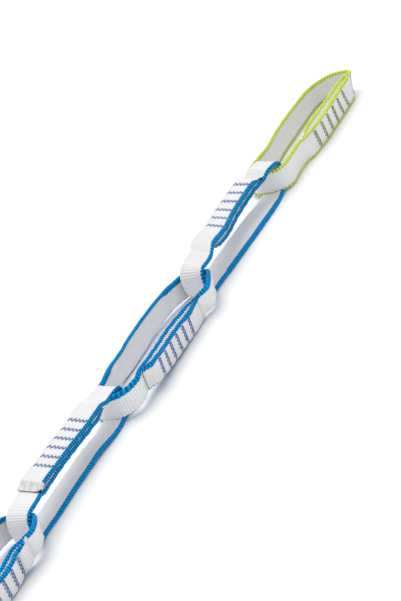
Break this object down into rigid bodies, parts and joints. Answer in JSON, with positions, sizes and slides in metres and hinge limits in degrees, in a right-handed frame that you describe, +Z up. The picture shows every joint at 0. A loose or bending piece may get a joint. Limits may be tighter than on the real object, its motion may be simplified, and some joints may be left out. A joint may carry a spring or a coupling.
{
  "type": "climbing daisy chain",
  "caption": "Chain of closed, bar-tacked webbing loops, each passed through the next, with a clip-in loop at one end and a longer tie-in loop at the other.",
  "frame": {"origin": "on the floor, under the middle of the chain's box", "axes": "+X along the chain towards its clip-in end loop, +Z up from the floor"},
  "size_m": [0.7738, 0.0302, 0.0209],
  "materials": {
    "lime_edged_webbing": "woven white webbing with lime selvages",
    "blue_edged_webbing": "woven white webbing with blue selvages",
    "green_thread": "bar tacks of green thread",
    "blue_thread": "bar tacks of blue thread"
  },
  "bodies": {
    "end_loop": {"end_loop_webbing": "lime_edged_webbing", "end_loop_tack_1": "green_thread", "end_loop_tack_2": "green_thread", "end_loop_tack_3": "green_thread", "end_loop_tack_4": "green_thread", "end_loop_tack_5": "green_thread", "end_loop_tack_6": "green_thread"},
    "link_1": {"link_1_webbing": "blue_edged_webbing", "link_1_tack_1": "blue_thread", "link_1_tack_2": "blue_thread", "link_1_tack_3": "blue_thread", "link_1_tack_4": "blue_thread", "link_1_tack_5": "blue_thread", "link_1_tack_6": "blue_thread"},
    "link_2": {"link_2_webbing": "blue_edged_webbing", "link_2_tack_1": "blue_thread", "link_2_tack_2": "blue_thread", "link_2_tack_3": "blue_thread", "link_2_tack_4": "blue_thread", "link_2_tack_5": "blue_thread", "link_2_tack_6": "blue_thread"},
    "link_3": {"link_3_webbing": "blue_edged_webbing", "link_3_tack_1": "blue_thread", "link_3_tack_2": "blue_thread", "link_3_tack_3": "blue_thread", "link_3_tack_4": "blue_thread", "link_3_tack_5": "blue_thread", "link_3_tack_6": "blue_thread"},
    "link_4": {"link_4_webbing": "blue_edged_webbing", "link_4_tack_1": "blue_thread", "link_4_tack_2": "blue_thread", "link_4_tack_3": "blue_thread", "link_4_tack_4": "blue_thread", "link_4_tack_5": "blue_thread", "link_4_tack_6": "blue_thread"},
    "link_5": {"link_5_webbing": "blue_edged_webbing", "link_5_tack_1": "blue_thread", "link_5_tack_2": "blue_thread", "link_5_tack_3": "blue_thread", "link_5_tack_4": "blue_thread", "link_5_tack_5": "blue_thread", "link_5_tack_6": "blue_thread"},
    "tie_in_loop": {"tie_in_loop_webbing": "blue_edged_webbing", "tie_in_loop_tack_1": "blue_thread", "tie_in_loop_tack_2": "blue_thread", "tie_in_loop_tack_3": "blue_thread", "tie_in_loop_tack_4": "blue_thread", "tie_in_loop_tack_5": "blue_thread", "tie_in_loop_tack_6": "blue_thread"}
  },
  "joints": [
    {"name": "link_1_swing", "type": "hinge", "parent": "end_loop", "child": "link_1", "pos_m": [0.29466, 0.00277, 0.00918], "axis": [0, 0, 1], "range_deg": [-75, 75]},
    {"name": "link_2_swing", "type": "hinge", "parent": "link_1", "child": "link_2", "pos_m": [0.19854, 0.00277, 0.00918], "axis": [0, 1, 0], "range_deg": [-75, 75]},
    {"name": "link_3_swing", "type": "hinge", "parent": "link_2", "child": "link_3", "pos_m": [0.10241, 0.00277, 0.00918], "axis": [0, 0, 1], "range_deg": [-75, 75]},
    {"name": "link_4_swing", "type": "hinge", "parent": "link_3", "child": "link_4", "pos_m": [0.00629, 0.00277, 0.00918], "axis": [0, 1, 0], "range_deg": [-75, 75]},
    {"name": "link_5_swing", "type": "hinge", "parent": "link_4", "child": "link_5", "pos_m": [-0.08983, 0.00277, 0.00918], "axis": [0, 0, 1], "range_deg": [-75, 75]},
    {"name": "tie_in_loop_swing", "type": "hinge", "parent": "link_5", "child": "tie_in_loop", "pos_m": [-0.18596, 0.00277, 0.00918], "axis": [0, 1, 0], "range_deg": [-75, 75]}
  ]
}
